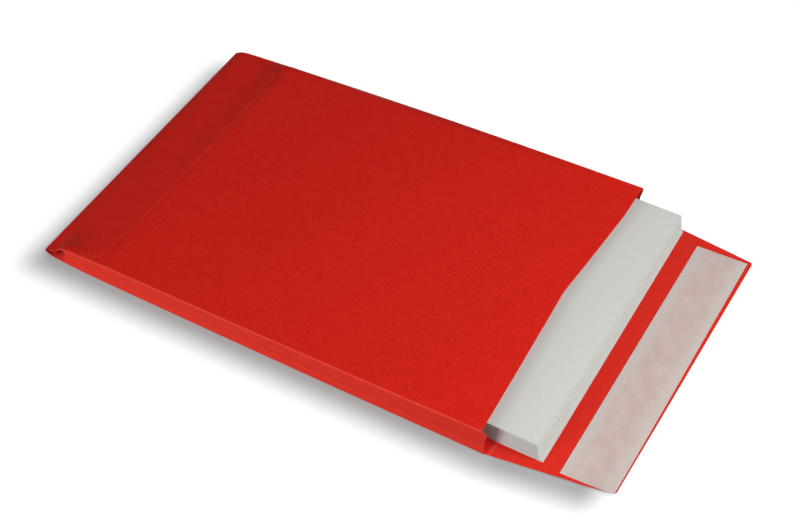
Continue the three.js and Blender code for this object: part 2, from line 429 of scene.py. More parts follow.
def across_knots():
    """Places across a panel, from -1 at its far side to 1 at its near side: even in the middle, and at
    both sides at even steps of the angle round the corners of the closure flap and of the bottom flap.
    The far side has even steps between the two corners."""
    arc = 1.0 - np.cos(np.linspace(0.0, math.pi / 2, ARC_STEPS))
    closure = CLOSURE_FLAP_RADIUS * arc
    between = np.linspace(CLOSURE_FLAP_RADIUS, BOTTOM_FLAP_FAR_INSET, ARC_STEPS)[1:-1]
    at_far = np.concatenate([closure, between, BOTTOM_FLAP_FAR_INSET + BOTTOM_FLAP_FAR_RADIUS * arc])
    at_near = np.concatenate([closure, BOTTOM_FLAP_NEAR_INSET + BOTTOM_FLAP_NEAR_RADIUS * arc])
    far = 1.0 - at_far / (WIDTH / 2)
    near = 1.0 - at_near / (WIDTH / 2)
    even = np.linspace(-far.min(), near.min(), EVEN_COLUMNS)[1:-1]
    return np.concatenate([-far, even, near[::-1]])


ROW_PLACES = np.concatenate([
    np.linspace(FOLD_DEPTH, GUSSET_OPEN_LENGTH + CLOSE_ROWS_BEYOND, CLOSE_ROWS)[:-1],
    np.linspace(GUSSET_OPEN_LENGTH + CLOSE_ROWS_BEYOND, LENGTH, FURTHER_ROWS),
])
ROW_SHARES = (ROW_PLACES - FOLD_DEPTH) / (LENGTH - FOLD_DEPTH)

# Places of a panel's columns, as shares of its width. Some lie close to the creases, so that the panel's
# shade doesn't bleed into them, and on the back panel also where it bends down at the far side.
GUSSET_SHARES = np.concatenate([[0.04, 0.1], np.linspace(0.24, 0.76, 4), [0.9, 0.96]])
ROOF_SHARES = np.concatenate([
    [0.0022, 0.0055], np.linspace(0.013, 0.92, 62), np.linspace(0.927, 0.987, 13), [0.9945, 0.9978],
])

# Corners of the pocket's cross-section that are creases, by their number, and their rounding
NEAR_TOP, FAR_TOP, FAR_CENTRE, FAR_BOTTOM, NEAR_BOTTOM, NEAR_CENTRE = 0, 3, 4, 5, 6, 7
CORNER_ROUNDING = {
    NEAR_TOP: CREASE, FAR_TOP: CREASE, FAR_CENTRE: CENTRE_CREASE, FAR_BOTTOM: CREASE,
    NEAR_BOTTOM: CREASE, NEAR_CENTRE: CENTRE_CREASE,
}

# How far from a top crease the back panel sets its direction, and how far the crease's rounding shows
BESIDE_NEAR_CREASE = 5.0
BESIDE_FAR_CREASE = 1.5
ROUNDING_REACH = 1.5


def pocket_corners(x):
    """Corners of the pocket's cross-section in order round it, each as an array of (y, z): near top crease,
    a place on the back panel beside it, one beside the far crease, far top crease, far centre crease,
    far and near bottom creases, near centre crease."""
    half = half_width(x)
    near = near_side(x)
    inner_near = near + BESIDE_NEAR_CREASE
    inner_far = half - BESIDE_FAR_CREASE
    lip = FRONT_PANEL_LIP * smoothstep(x, 0.0, FRONT_PANEL_LIP_LENGTH)
    nothing = np.zeros_like(x)
    corners = [
        (near, near_height(x)),
        (inner_near, roof_at(x, inner_near)),
        (inner_far, roof_at(x, inner_far)),
        (half, far_height(x)),
        (half - crease_depth(x, True), far_height(x) / 2),
        (half, nothing),
        (near - lip, nothing),
        (near + crease_depth(x, False), near_height(x) * GUSSET_CREASE_SHARE),
    ]
    return [np.stack(corner, -1) for corner in corners]


def rounded_corner(before, corner, after, rounding, share):
    """A point of the curve that rounds a corner: a parabola between two points, each at the rounding's
    length from the corner along its side."""
    back = before - corner
    on = after - corner
    start = corner + rounding * back / np.linalg.norm(back, axis=-1, keepdims=True)
    end = corner + rounding * on / np.linalg.norm(on, axis=-1, keepdims=True)
    return (1 - share) ** 2 * start + 2 * share * (1 - share) * corner + share ** 2 * end


def pocket_columns():
    """The columns of the pocket's tube in order round it. Each is a corner's number, a share, and whether
    the share is one of the corner's curve or of the panel that follows it."""
    panels = {
        NEAR_TOP: ROOF_SHARES,
        FAR_TOP: GUSSET_SHARES,
        FAR_CENTRE: GUSSET_SHARES,
        FAR_BOTTOM: (1.0 + across_knots()[1:-1]) / 2,
        NEAR_BOTTOM: GUSSET_SHARES,
        NEAR_CENTRE: GUSSET_SHARES,
    }
    columns = []
    for number, shares in panels.items():
        columns += [(number, share, True) for share in np.linspace(0.0, 1.0, CORNER_POINTS)]
        columns += [(number, share, False) for share in shares]
    columns.append(columns[0])
    return columns


def column_at(x, number, share, on_curve):
    """The points of one column at the places x: on a corner's curve, or on the panel that follows it."""
    corners = pocket_corners(x)
    count = len(corners)
    before, corner, after = (corners[(number + step) % count] for step in (-1, 0, 1))
    if on_curve:
        return rounded_corner(before, corner, after, CORNER_ROUNDING[number], share)
    start = rounded_corner(before, corner, after, CORNER_ROUNDING[number], 1.0)
    if number == NEAR_TOP:
        end = rounded_corner(corners[2], corners[3], corners[4], CREASE, 0.0)
        y = mix(start[:, 0], end[:, 0], share)
        close = np.exp(-np.minimum(y - start[:, 0], end[:, 0] - y) / ROUNDING_REACH)
        edges = mix(start[:, 1] - roof_at(x, start[:, 0]), end[:, 1] - roof_at(x, end[:, 0]), share)
        return np.stack([y, roof_at(x, y) + edges * close + paper_waves(x, y)], -1)
    beyond = corners[(number + 2) % count]
    following = NEAR_TOP if number == NEAR_CENTRE else number + 1
    end = rounded_corner(corner, after, beyond, CORNER_ROUNDING[following], 0.0)
    return start + (end - start) * share


def column_end(number, on_curve, y, z):
    """Where a column of the tube ends at the mouth."""
    if number == NEAR_TOP or (number == FAR_TOP and on_curve):
        return roof_mouth(y)
    if number == FAR_BOTTOM or (number == NEAR_BOTTOM and on_curve):
        return LENGTH
    return gusset_mouth(z, number in (FAR_TOP, FAR_CENTRE))


def window_hole(x, y):
    """Signed distance from the window's edge, a rounded rectangle, and the direction away from it."""
    middle_x = LENGTH - WINDOW_FROM_MOUTH - WINDOW_HEIGHT / 2
    middle_y = WINDOW_FROM_SIDE - WIDTH / 2 + WINDOW_WIDTH / 2
    over_x = np.abs(x - middle_x) - (WINDOW_HEIGHT / 2 - WINDOW_RADIUS)
    over_y = np.abs(y - middle_y) - (WINDOW_WIDTH / 2 - WINDOW_RADIUS)
    out_x = np.maximum(over_x, 0.0)
    out_y = np.maximum(over_y, 0.0)
    outside = np.hypot(out_x, out_y)
    inside = np.minimum(np.maximum(over_x, over_y), 0.0)
    length = np.where(outside > 0, outside, 1.0)
    along_x = np.where(outside > 0, out_x / length, over_x >= over_y) * np.sign(x - middle_x)
    along_y = np.where(outside > 0, out_y / length, over_x < over_y) * np.sign(y - middle_y)
    return outside + inside - WINDOW_RADIUS, along_x, along_y


def pocket_tube(sheets):
    """The tube of the pocket. Column by column round it, row by row along it: each row lies at the same
    share of its column's length, and the window is left out of the floor."""
    columns = pocket_columns()
    x = np.zeros((len(ROW_SHARES), len(columns)))
    y = np.zeros_like(x)
    z = np.zeros_like(x)
    wear = np.zeros(len(columns))
    for index, (number, share, on_curve) in enumerate(columns):
        mouth = column_at(np.array([LENGTH]), number, share, on_curve)
        end = column_end(number, on_curve, mouth[0, 0], mouth[0, 1])
        x[:, index] = FOLD_DEPTH + ROW_SHARES * (end - FOLD_DEPTH)
        place = column_at(x[:, index], number, share, on_curve)
        y[:, index] = place[:, 0]
        z[:, index] = place[:, 1]
        # Crease curves: paler paper, real wear together with a painted highlight
        if on_curve and number in (NEAR_TOP, FAR_TOP):
            wear[index] = CREASE_WEAR_AND_HIGHLIGHT
        # Gusset walls: paler paper, a painted sheen
        elif number in (FAR_TOP, FAR_CENTRE, NEAR_CENTRE) or (number == NEAR_BOTTOM and not on_curve):
            wear[index] = GUSSET_PAINTED_SHEEN
    floor = np.array([number == FAR_BOTTOM and not on_curve for number, share, on_curve in columns])
    distance, along_x, along_y = window_hole(x, y)
    snapped = floor[None, :] & (np.abs(distance) < WINDOW_SNAP)
    x = np.where(snapped, x - distance * along_x, x)
    y = np.where(snapped, y - distance * along_y, y)
    distance = np.where(snapped, 0.0, distance)
    in_window = floor[None, :] & (distance < WELD / 2)
    corners_in = (
        in_window[:-1, :-1].astype(int) + in_window[1:, :-1] + in_window[:-1, 1:] + in_window[1:, 1:]
    )
    sheets.add(x, y, z, wear[None, :], keep=corners_in < 4, turned=True)


def flap_lift(x, y):
    """How high the open flap stands off the table: nothing at the mouth, a little at its outer edge
    and at its near corner, as a low wave."""
    out = np.clip((x - LENGTH) / CLOSURE_FLAP_LENGTH, 0.0, 1.0)
    near = smoothstep(-y, FLAP_CORNER_START, WIDTH / 2)
    wave = FLAP_WAVE * np.sin(y / FLAP_WAVE_LENGTH)
    return out ** 2 * (FLAP_EDGE_LIFT + FLAP_CORNER_LIFT * near + wave)


def score_ridge(x, width):
    """The low ridge of the score, from 0 to 1: a bell curve across it."""
    return np.exp(-((x - LENGTH - SCORE_PLACE) / width) ** 2)


def floor_row(x):
    """Places across the floor at x where the flaps join it: its own columns, with its creases."""
    corners = pocket_corners(np.array([x]))
    far = corners[FAR_BOTTOM][0, 0] - CREASE
    near = corners[NEAR_BOTTOM][0, 0] + CREASE
    shares = np.concatenate([[0.0], (1.0 + across_knots()[1:-1]) / 2, [1.0]])
    return mix(far, near, shares)


def closure_flap(sheets):
    """The open flap: rows run out from the mouth, columns follow its tapers, its outer edge is a little
    skew, and a quarter circle shortens the columns at both outer corners."""
    root = floor_row(LENGTH)
    far_tip = root * (1.0 - CLOSURE_FLAP_FAR_TAPER / root[0])
    near_tip = root * (1.0 - CLOSURE_FLAP_NEAR_TAPER / -root[-1])
    tip = np.where(root > 0, far_tip, near_tip)
    to_side = np.minimum(tip[0] - tip, tip - tip[-1])
    past = np.clip(CLOSURE_FLAP_RADIUS - to_side, 0.0, CLOSURE_FLAP_RADIUS)
    cut = CLOSURE_FLAP_RADIUS - np.sqrt(CLOSURE_FLAP_RADIUS ** 2 - past ** 2)
    reach = CLOSURE_FLAP_LENGTH + CLOSURE_FLAP_SKEW * tip / tip[0] - cut
    beside_score = np.linspace(0.0, SCORE_ROWS_SHARE, SCORE_ROWS)[:-1]
    rows = np.concatenate([beside_score, np.linspace(SCORE_ROWS_SHARE, 1.0, CLOSURE_FLAP_ROWS)])[:, None]
    x = LENGTH + rows * reach
    y = mix(root, tip, rows)
    z = flap_lift(x, y) + SCORE_HEIGHT * score_ridge(x, SCORE_WIDTH)
    z[0] = 0.0
    # The open flap: paler paper, a painted sheen. The score: paler paper, real wear together with a painted
    # highlight
    wear = mix(FLAP_PAINTED_SHEEN, CREASE_WEAR_AND_HIGHLIGHT, score_ridge(x, SCORE_WEAR_AND_HIGHLIGHT_WIDTH))
    sheets.add(x, y, z, wear=wear, turned=True)


def bottom_flap_reach(to_side, side_reach, inset, radius):
    """How far the bottom flap reaches over the back panel, by the distance from its side: a straight edge,
    a rounded corner at that inset and of that radius, and a slanted side."""
    past = np.clip(inset + radius - to_side, 0.0, radius)
    rounded = BOTTOM_FLAP_REACH - radius + np.sqrt(radius ** 2 - past ** 2)
    slanted = mix(BOTTOM_FLAP_REACH - radius, side_reach, np.clip(1.0 - to_side / inset, 0.0, 1.0))
    return np.where(to_side > inset, rounded, slanted)


def bottom_flap(sheets):
    """The bottom flap: half an ellipse carries it up from the floor round the fold, and then it lies on the
    back panel, a little towards the near side. Its corners stand off a little."""
    y_root = floor_row(FOLD_DEPTH)
    turn = np.linspace(0.0, math.pi, FOLD_ROWS)[:, None]
    y_turn = np.broadcast_to(y_root, (len(turn), len(y_root)))
    top = roof_at(np.full_like(y_turn, FOLD_DEPTH), y_turn) + PAPER + BOTTOM_FLAP_GAP
    x_turn = FOLD_DEPTH - (FOLD_DEPTH + FOLD_OVERHANG) * np.sin(turn) + 0.0 * y_turn
    z_turn = top * (1.0 - np.cos(turn)) / 2
    shares = np.linspace(0.0, 1.0, BOTTOM_FLAP_ROWS)[1:, None]
    far_reach = bottom_flap_reach(
        y_root[0] - y_root, BOTTOM_FLAP_FAR_REACH, BOTTOM_FLAP_FAR_INSET, BOTTOM_FLAP_FAR_RADIUS
    )
    near_reach = bottom_flap_reach(
        y_root - y_root[-1], BOTTOM_FLAP_NEAR_REACH, BOTTOM_FLAP_NEAR_INSET, BOTTOM_FLAP_NEAR_RADIUS
    )
    x_lying = FOLD_DEPTH + shares * (np.minimum(far_reach, near_reach) - FOLD_DEPTH)
    far_widening = half_width(x_lying) / half_width(FOLD_DEPTH)
    near_widening = near_side(x_lying) / near_side(FOLD_DEPTH)
    y_lying = y_root * np.where(y_root > 0, far_widening, near_widening)
    out = smoothstep(x_lying, BOTTOM_FLAP_LIFT_START, BOTTOM_FLAP_REACH)
    aside = smoothstep(np.abs(y_lying), BOTTOM_FLAP_LIFT_INNER, BOTTOM_FLAP_LIFT_OUTER)
    above_roof = PAPER + BOTTOM_FLAP_GAP + BOTTOM_FLAP_LIFT * out * aside
    z_lying = roof_at(x_lying, y_lying) + paper_waves(x_lying, y_lying) + above_roof
    x = np.concatenate([x_turn, x_lying])
    y = np.concatenate([y_turn, y_lying])
    z = np.concatenate([z_turn, z_lying])
    wear = np.zeros_like(x)
    # The fold round the closed end: paler paper, real wear together with a painted highlight
    wear[FOLD_WEAR_AND_HIGHLIGHT_ROWS] = FOLD_WEAR_AND_HIGHLIGHT
    sheets.add(x, y, z, wear=wear)


def glue_tab(sheets):
    """The tab of the side seam, under the back panel along its far crease: the panel's own height,
    less the paper."""
    start = PILE_START + GLUE_TAB_INSET
    end = LENGTH - THROAT_DEPTH - GLUE_TAB_INSET
    along = np.linspace(start, end, GLUE_TAB_ROWS)[:, None]
    inner = WIDTH / 2 - GLUE_TAB_WIDTH
    outer = WIDTH / 2 - CREASE - PAPER
    across = np.linspace(inner, outer, GLUE_TAB_COLUMNS)[None, :]
    x = along + 0.0 * across
    y = across + 0.0 * along
    sheets.add(x, y, roof_at(x, y) - 2 * PAPER, turned=True)


def noise(tree, scale, detail=2.0, roughness=0.5, stretch=None):
    """A noise texture on Object coordinates, which a Mapping node may stretch."""
    texture = tree.nodes.new("ShaderNodeTexNoise")
    texture.inputs["Scale"].default_value = scale
    texture.inputs["Detail"].default_value = detail
    texture.inputs["Roughness"].default_value = roughness
    source = tree.nodes.new("ShaderNodeTexCoord").outputs["Object"]
    if stretch is not None:
        mapping = tree.nodes.new("ShaderNodeMapping")
        mapping.inputs["Scale"].default_value = stretch
        tree.links.new(source, mapping.inputs["Vector"])
        source = mapping.outputs["Vector"]
    tree.links.new(source, texture.inputs["Vector"])
    return texture.outputs["Fac"]


def grey(value):
    """A grey as the shaders take it."""
    return (value, value, value)


def ramp(tree, factor, low, high, start=0.0, end=1.0):
    """A colour that goes from low to high as the factor goes from start to end."""
    node = tree.nodes.new("ShaderNodeValToRGB")
    node.color_ramp.elements[0].position = start
    node.color_ramp.elements[1].position = end
    node.color_ramp.elements[0].color = (*low, 1.0)
    node.color_ramp.elements[1].color = (*high, 1.0)
    tree.links.new(factor, node.inputs["Fac"])
    return node.outputs["Color"]


def blend_colours(tree, factor, first, second, blend_type="MIX"):
    """Mixes two colours. A number as the factor is the same all over."""
    node = tree.nodes.new("ShaderNodeMix")
    node.data_type = "RGBA"
    node.blend_type = blend_type
    if isinstance(factor, float):
        node.inputs["Factor"].default_value = factor
    else:
        tree.links.new(factor, node.inputs["Factor"])
    for socket, colour in ((node.inputs[6], first), (node.inputs[7], second)):
        if isinstance(colour, tuple):
            socket.default_value = (*colour, 1.0)
        else:
            tree.links.new(colour, socket)
    return node.outputs[2]


def bump(tree, height, distance, normal=None):
    """Turns a height between 0 and 1 into a relief of that many millimetres."""
    node = tree.nodes.new("ShaderNodeBump")
    node.inputs["Strength"].default_value = 1.0
    node.inputs["Distance"].default_value = distance * MM
    tree.links.new(height, node.inputs["Height"])
    if normal is not None:
        tree.links.new(normal, node.inputs["Normal"])
    return node.outputs["Normal"]


def painted_crevice_shade(tree, colour, closed, open_at, reach=7.0, darkest=0.1):
    """The colour with shade painted into it: darker deep in a fold or a narrow gap, where hardly any light
    gets. It is at its darkest where only the share closed of the space within reach millimetres is open,
    and itself at open_at."""
    open_space = tree.nodes.new("ShaderNodeAmbientOcclusion")
    open_space.samples = 8
    open_space.inputs["Distance"].default_value = reach * MM
    shade = ramp(tree, open_space.outputs["AO"], grey(darkest), grey(1.0), closed, open_at)
    return blend_colours(tree, 1.0, colour, shade, "MULTIPLY")


def new_material(name, roughness, specular):
    """A material with its node tree and its surface shader."""
    material = bpy.data.materials.new(name)
    material.use_nodes = True
    tree = material.node_tree
    shader = tree.nodes["Principled BSDF"]
    shader.inputs["Roughness"].default_value = roughness
    shader.inputs["Specular IOR Level"].default_value = specular
    return material, tree, shader


def srgb(red, green, blue):
    """A colour as the shaders take it, from screen values of 0 to 255."""
    values = np.array([red, green, blue]) / 255.0
    return tuple(np.where(values <= 0.04045, values / 12.92, ((values + 0.055) / 1.055) ** 2.4).tolist())


def red_paper(name, deep, light, pale_fibre_wear_and_sheen):
    """Dyed envelope paper: soft clouding, fine grain and pale fibres. It is paler on its creases and folds,
    where real wear and a painted highlight go together, and on its gusset walls and open flap, where a
    painted sheen lightens it. Painted shade darkens it deep in folds and gaps."""
    material, tree, shader = new_material(name, roughness=0.62, specular=0.06)
    clouding = ramp(tree, noise(tree, scale=120.0, detail=3.0), deep, light, start=0.3, end=0.7)
    grain = noise(tree, scale=620.0, detail=4.0, roughness=0.7)
    grain_shade = ramp(tree, grain, grey(0.86), grey(1.08), start=0.32, end=0.68)
    grained = blend_colours(tree, 1.0, clouding, grain_shade, "MULTIPLY")
    fibres = noise(tree, scale=1500.0, detail=2.0, roughness=0.6, stretch=(0.35, 1.0, 1.0))
    fibre_share = ramp(tree, fibres, grey(0.0), grey(0.3), start=0.5, end=0.8)
    flecked = blend_colours(tree, fibre_share, grained, pale_fibre_wear_and_sheen)
    wear = tree.nodes.new("ShaderNodeAttribute")
    wear.attribute_name = "wear"
    coloured = blend_colours(tree, wear.outputs["Fac"], flecked, pale_fibre_wear_and_sheen)
    # Painted shade: the red paper darkens deep in folds and narrow gaps
    shaded = painted_crevice_shade(tree, coloured, closed=0.14, open_at=0.42)
    tree.links.new(shaded, shader.inputs["Base Color"])
    relief = bump(tree, noise(tree, scale=900.0, detail=3.0, roughness=0.6), distance=0.02)
    waves = bump(tree, noise(tree, scale=60.0), distance=0.05, normal=relief)
    tree.links.new(waves, shader.inputs["Normal"])
    return material


def sheet_paper():
    """White office paper, each sheet a shade of its own, with a fine fibre relief."""
    material, tree, shader = new_material("white_sheet", roughness=0.75, specular=0.12)
    tone = tree.nodes.new("ShaderNodeAttribute")
    tone.attribute_name = "tone"
    base = ramp(tree, tone.outputs["Fac"], srgb(184, 183, 179), srgb(207, 209, 204))
    specks = noise(tree, scale=1100.0, detail=3.0, roughness=0.6)
    speck_shade = ramp(tree, specks, grey(0.94), grey(1.0), start=0.35, end=0.65)
    flecked = blend_colours(tree, 1.0, base, speck_shade, "MULTIPLY")
    # Painted shade: the sheets darken in the gaps between them and under the envelope
    shaded = painted_crevice_shade(tree, flecked, closed=0.05, open_at=0.3)
    tree.links.new(shaded, shader.inputs["Base Color"])
    relief = bump(tree, noise(tree, scale=1300.0, detail=3.0, roughness=0.6), distance=0.01)
    tree.links.new(relief, shader.inputs["Normal"])
    return material


def liner_paper():
    """Release paper: smooth and faintly shiny, greyish along its long edges, and with soft pinkish smudges
    along its middle where the red shows through."""
    material, tree, shader = new_material("liner_satin", roughness=0.42, specular=0.3)
    smudges = noise(tree, scale=110.0, detail=5.0, roughness=0.65, stretch=(1.0, 0.8, 1.0))
    middle = ramp(tree, smudges, srgb(186, 163, 158), srgb(194, 177, 171), start=0.34, end=0.66)
    from_edge = tree.nodes.new("ShaderNodeAttribute")
    from_edge.attribute_name = "wear"
    base = blend_colours(tree, from_edge.outputs["Fac"], srgb(192, 182, 176), middle)
    streaks = noise(tree, scale=900.0, detail=3.0, roughness=0.6)
    streak_shade = ramp(tree, streaks, (0.94, 0.93, 0.93), grey(1.0), start=0.3, end=0.7)
    streaked = blend_colours(tree, 1.0, base, streak_shade, "MULTIPLY")
    tree.links.new(streaked, shader.inputs["Base Color"])
    tree.links.new(bump(tree, noise(tree, scale=160.0), distance=0.03), shader.inputs["Normal"])
    return material


def cut_edge(name, colour):
    """The cut edge of a sheet, where the fibres stand open and look paler."""
    material, tree, shader = new_material(name, roughness=0.8, specular=0.1)
    dark_share = 0.88
    darker = tuple(dark_share * channel for channel in colour)
    fibres = ramp(tree, noise(tree, scale=2200.0), darker, colour, start=0.35, end=0.65)
    tree.links.new(fibres, shader.inputs["Base Color"])
    return material


def tacky_layer():
    """Rubbery glue that never dries: yellowish, translucent and shiny, with fine bubbles."""
    material, tree, shader = new_material("tacky_layer", roughness=0.25, specular=0.5)
    clouds = noise(tree, scale=240.0, detail=3.0)
    clouding = ramp(tree, clouds, srgb(214, 190, 160), srgb(232, 214, 188), start=0.35, end=0.65)
    tree.links.new(clouding, shader.inputs["Base Color"])
    tree.links.new(bump(tree, noise(tree, scale=700.0), distance=0.03), shader.inputs["Normal"])
    return material


def clear_film():
    """Clear window film: see-through and shiny, with the long low waves of a glued film."""
    material, tree, shader = new_material("clear_film", roughness=0.08, specular=0.5)
    tint = ramp(tree, noise(tree, scale=30.0), (0.86, 0.9, 0.92), (0.95, 0.97, 0.98))
    tree.links.new(tint, shader.inputs["Base Color"])
    shader.inputs["Transmission Weight"].default_value = 0.92
    shader.inputs["IOR"].default_value = 1.2
    waves = noise(tree, scale=45.0, detail=1.0, stretch=(1.0, 0.3, 1.0))
    tree.links.new(bump(tree, waves, distance=0.12), shader.inputs["Normal"])
    return material


def take_material(thing, *materials):
    """Gives an object these materials in place of its own."""
    thing.data.materials.clear()
    for material in materials:
        thing.data.materials.append(material)


def settle(thing, node):
    """The piece moves with the object and stands for its node, whose own mesh is hidden."""
    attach(thing, "root")
    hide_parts(node)


def make_envelope():
    """The whole folded blank as one sheet of paper."""
    sheets = Sheets()
    pocket_tube(sheets)
    closure_flap(sheets)
    bottom_flap(sheets)
    glue_tab(sheets)
    envelope = sheets.build("folded_envelope")
    # The last colour serves the pale fibres, the worn creases and folds with their painted highlight, and
    # the painted sheen on the gussets and flap
    paper = red_paper("red_paper", srgb(204, 30, 20), srgb(209, 33, 22), srgb(216, 66, 54))
    take_material(envelope, paper, cut_edge("red_cut_edge", srgb(226, 84, 70)))
    thicken(envelope, PAPER)
    settle(envelope, "envelope")


def make_pile():
    """Sheets one over another, each a thin box. How far a sheet lies out of the mouth is a sum: a lean that
    dies out in a straight line towards the top, a foot that dies out as a parabola and is deeper at the
    near side, a slow wander as a sum of sine waves, and a small chance of its own."""
    count = int(round((PILE_HIGH[2] - PILE_LOW[2]) / SHEET))
    level = (np.arange(count) + 0.5) / count
    height = level * (PILE_HIGH[2] - PILE_LOW[2])
    foot = np.clip(1.0 - height / PILE_FOOT_HEIGHT, 0.0, 1.0) ** 2
    above_foot = (height - PILE_FOOT_HEIGHT) / (PILE_LEAN_TOP - PILE_FOOT_HEIGHT)
    lean = PILE_LEAN * (1.0 - np.clip(above_foot, 0.0, 1.0))
    wander = sum(size * np.sin(level * turns + start) for size, turns, start in STRAY_WAVES)
    chance = RANDOM.normal(0.0, STRAY_CHANCE, (2, count))
    corner_x = np.array([0.0, 1.0, 1.0, 0.0])[None, :, None]
    corner_y = np.array([0.0, 0.0, 1.0, 1.0])[None, :, None]
    corner_z = np.array([0.0, 1.0])[None, None, :]
    out = (PILE_LOW[0] + lean + STRAY_OUT * wander + chance[0])[:, None, None]
    out = out + foot[:, None, None] * mix(PILE_NEAR_FOOT, PILE_FAR_FOOT, corner_y)
    aside = (STRAY_ASIDE * wander[::-1] + STRAY_CHANCE_ASIDE * chance[1])[:, None, None]
    width = PILE_HIGH[1] - PILE_LOW[1] + 2.0 * SHEET_SLACK
    low = (PILE_LOW[2] + height - SHEET / 2)[:, None, None]
    x = out + SHEET_LENGTH * corner_x + 0.0 * corner_z
    y = PILE_LOW[1] - SHEET_SLACK + aside + width * corner_y + 0.0 * corner_z
    z = low + SHEET_FILL * SHEET * corner_z + 0.0 * corner_x
    points = np.stack([x, y, z], -1).transpose(0, 2, 1, 3).reshape(-1, 3) * MM
    box_faces = np.array([
        (3, 2, 1, 0), (4, 5, 6, 7), (0, 1, 5, 4), (1, 2, 6, 5), (2, 3, 7, 6), (3, 0, 4, 7),
    ])
    box_corners = corner_x.size * corner_z.size
    faces = (box_faces[None] + box_corners * np.arange(count)[:, None, None]).reshape(-1, 4)
    mesh = bpy.data.meshes.new("sheets")
    mesh.from_pydata(points, [], faces.tolist())
    tone = mesh.attributes.new("tone", "FLOAT", "POINT")
    shade = np.clip(SHEET_TONE + RANDOM.normal(0.0, SHEET_TONE_SPREAD, count), 0.0, 1.0)
    shade[-1] = TOP_SHEET_TONE
    tone.data.foreach_set("value", np.repeat(shade, box_corners).astype(np.float32))
    pile = bpy.data.objects.new("sheet_pile", mesh)
    bpy.context.scene.collection.objects.link(pile)
    take_material(pile, sheet_paper())
    settle(pile, "paper_stack")


def strip_on_flap(name, near_edge, far_edge, bottom, thickness, buckle=0.0, curl=0.0):
    """A strip that lies on the open flap, as a grid between its near and its far end, each given as the
    (x, y) of its inner and its outer corner. Its height is the flap's, plus what lies under it, a low
    buckle along its long edges as a sum of sine waves, and a curl at its near outer corner."""
    shares = np.linspace(0.0, 1.0, STRIP_COLUMNS)[:, None]
    inner = mix(np.array(near_edge[0]), np.array(far_edge[0]), shares)
    outer = mix(np.array(near_edge[1]), np.array(far_edge[1]), shares)
    along = np.linspace(0.0, 1.0, STRIP_ROWS)[:, None]
    x = mix(inner[:, 0], outer[:, 0], along)
    y = mix(inner[:, 1], outer[:, 1], along)
    edge = np.abs(2.0 * along - 1.0)
    waves = sum(share * np.sin(y / length + start) for share, length, start in LINER_BUCKLE_WAVES)
    wave = buckle * waves * edge ** 2
    corner = np.exp((inner[0, 1] - y) / LINER_CURL_REACH) * along ** 2
    z = flap_lift(x, y) + bottom + thickness + np.maximum(wave, 0.0) + curl * corner
    sheets = Sheets()
    inside_margin = smoothstep(1.0 - edge, LINER_MARGIN_START, LINER_MARGIN_END)
    sheets.add(x, y, z, wear=inside_margin, turned=True)
    return sheets.build(name)


def make_adhesive():
    """The tacky strip: straight, and as long and wide as its node."""
    low, high = (np.array(corner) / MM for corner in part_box("adhesive_strip"))
    near = [(x - CLOSED_END, low[1]) for x in (low[0], high[0])]
    far = [(x - CLOSED_END, high[1]) for x in (low[0], high[0])]
    strip = strip_on_flap("tacky_strip", near, far, low[2], high[2] - low[2])
    take_material(strip, tacky_layer())
    thicken(strip, high[2] - low[2])
    settle(strip, "adhesive_strip")


def make_liner():
    """The liner: its two ends aren't quite square, and its long edges are loose."""
    low, high = (np.array(corner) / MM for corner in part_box("release_liner"))
    strip = strip_on_flap(
        "peel_off_liner", LINER_NEAR_END, LINER_FAR_END, low[2], high[2] - low[2], LINER_BUCKLE, LINER_CURL
    )
    take_material(strip, liner_paper(), cut_edge("liner_cut_edge", srgb(236, 230, 226)))
    thicken(strip, high[2] - low[2])
    settle(strip, "release_liner")


def dress_film():
    """The film keeps its node's mesh."""
    take_material(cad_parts["window_film"], clear_film())


def map_range(tree, value, start, end, low, high, kind="SMOOTHSTEP"):
    """A value that goes from low to high while the given one goes from start to end, and stays there."""
    node = tree.nodes.new("ShaderNodeMapRange")
    node.interpolation_type = kind
    node.inputs["From Min"].default_value = start
    node.inputs["From Max"].default_value = end
    node.inputs["To Min"].default_value = low
    node.inputs["To Max"].default_value = high
    tree.links.new(value, node.inputs["Value"])
    return node.outputs["Result"]


def arithmetic(tree, operation, first, second):
    """One Math node. Each of its two values is a socket or a number."""
    node = tree.nodes.new("ShaderNodeMath")
    node.operation = operation
    for socket, value in zip(node.inputs, (first, second)):
        if isinstance(value, float):
            socket.default_value = value
        else:
            tree.links.new(value, socket)
    return node.outputs["Value"]


def seen_directly(tree):
    """1 for what the camera sees itself, in a reflection or through something clear."""
    path = tree.nodes.new("ShaderNodeLightPath")
    either = arithmetic(tree, "MAXIMUM", path.outputs["Is Camera Ray"], path.outputs["Is Glossy Ray"])
    return arithmetic(tree, "MAXIMUM", either, path.outputs["Is Transmission Ray"])


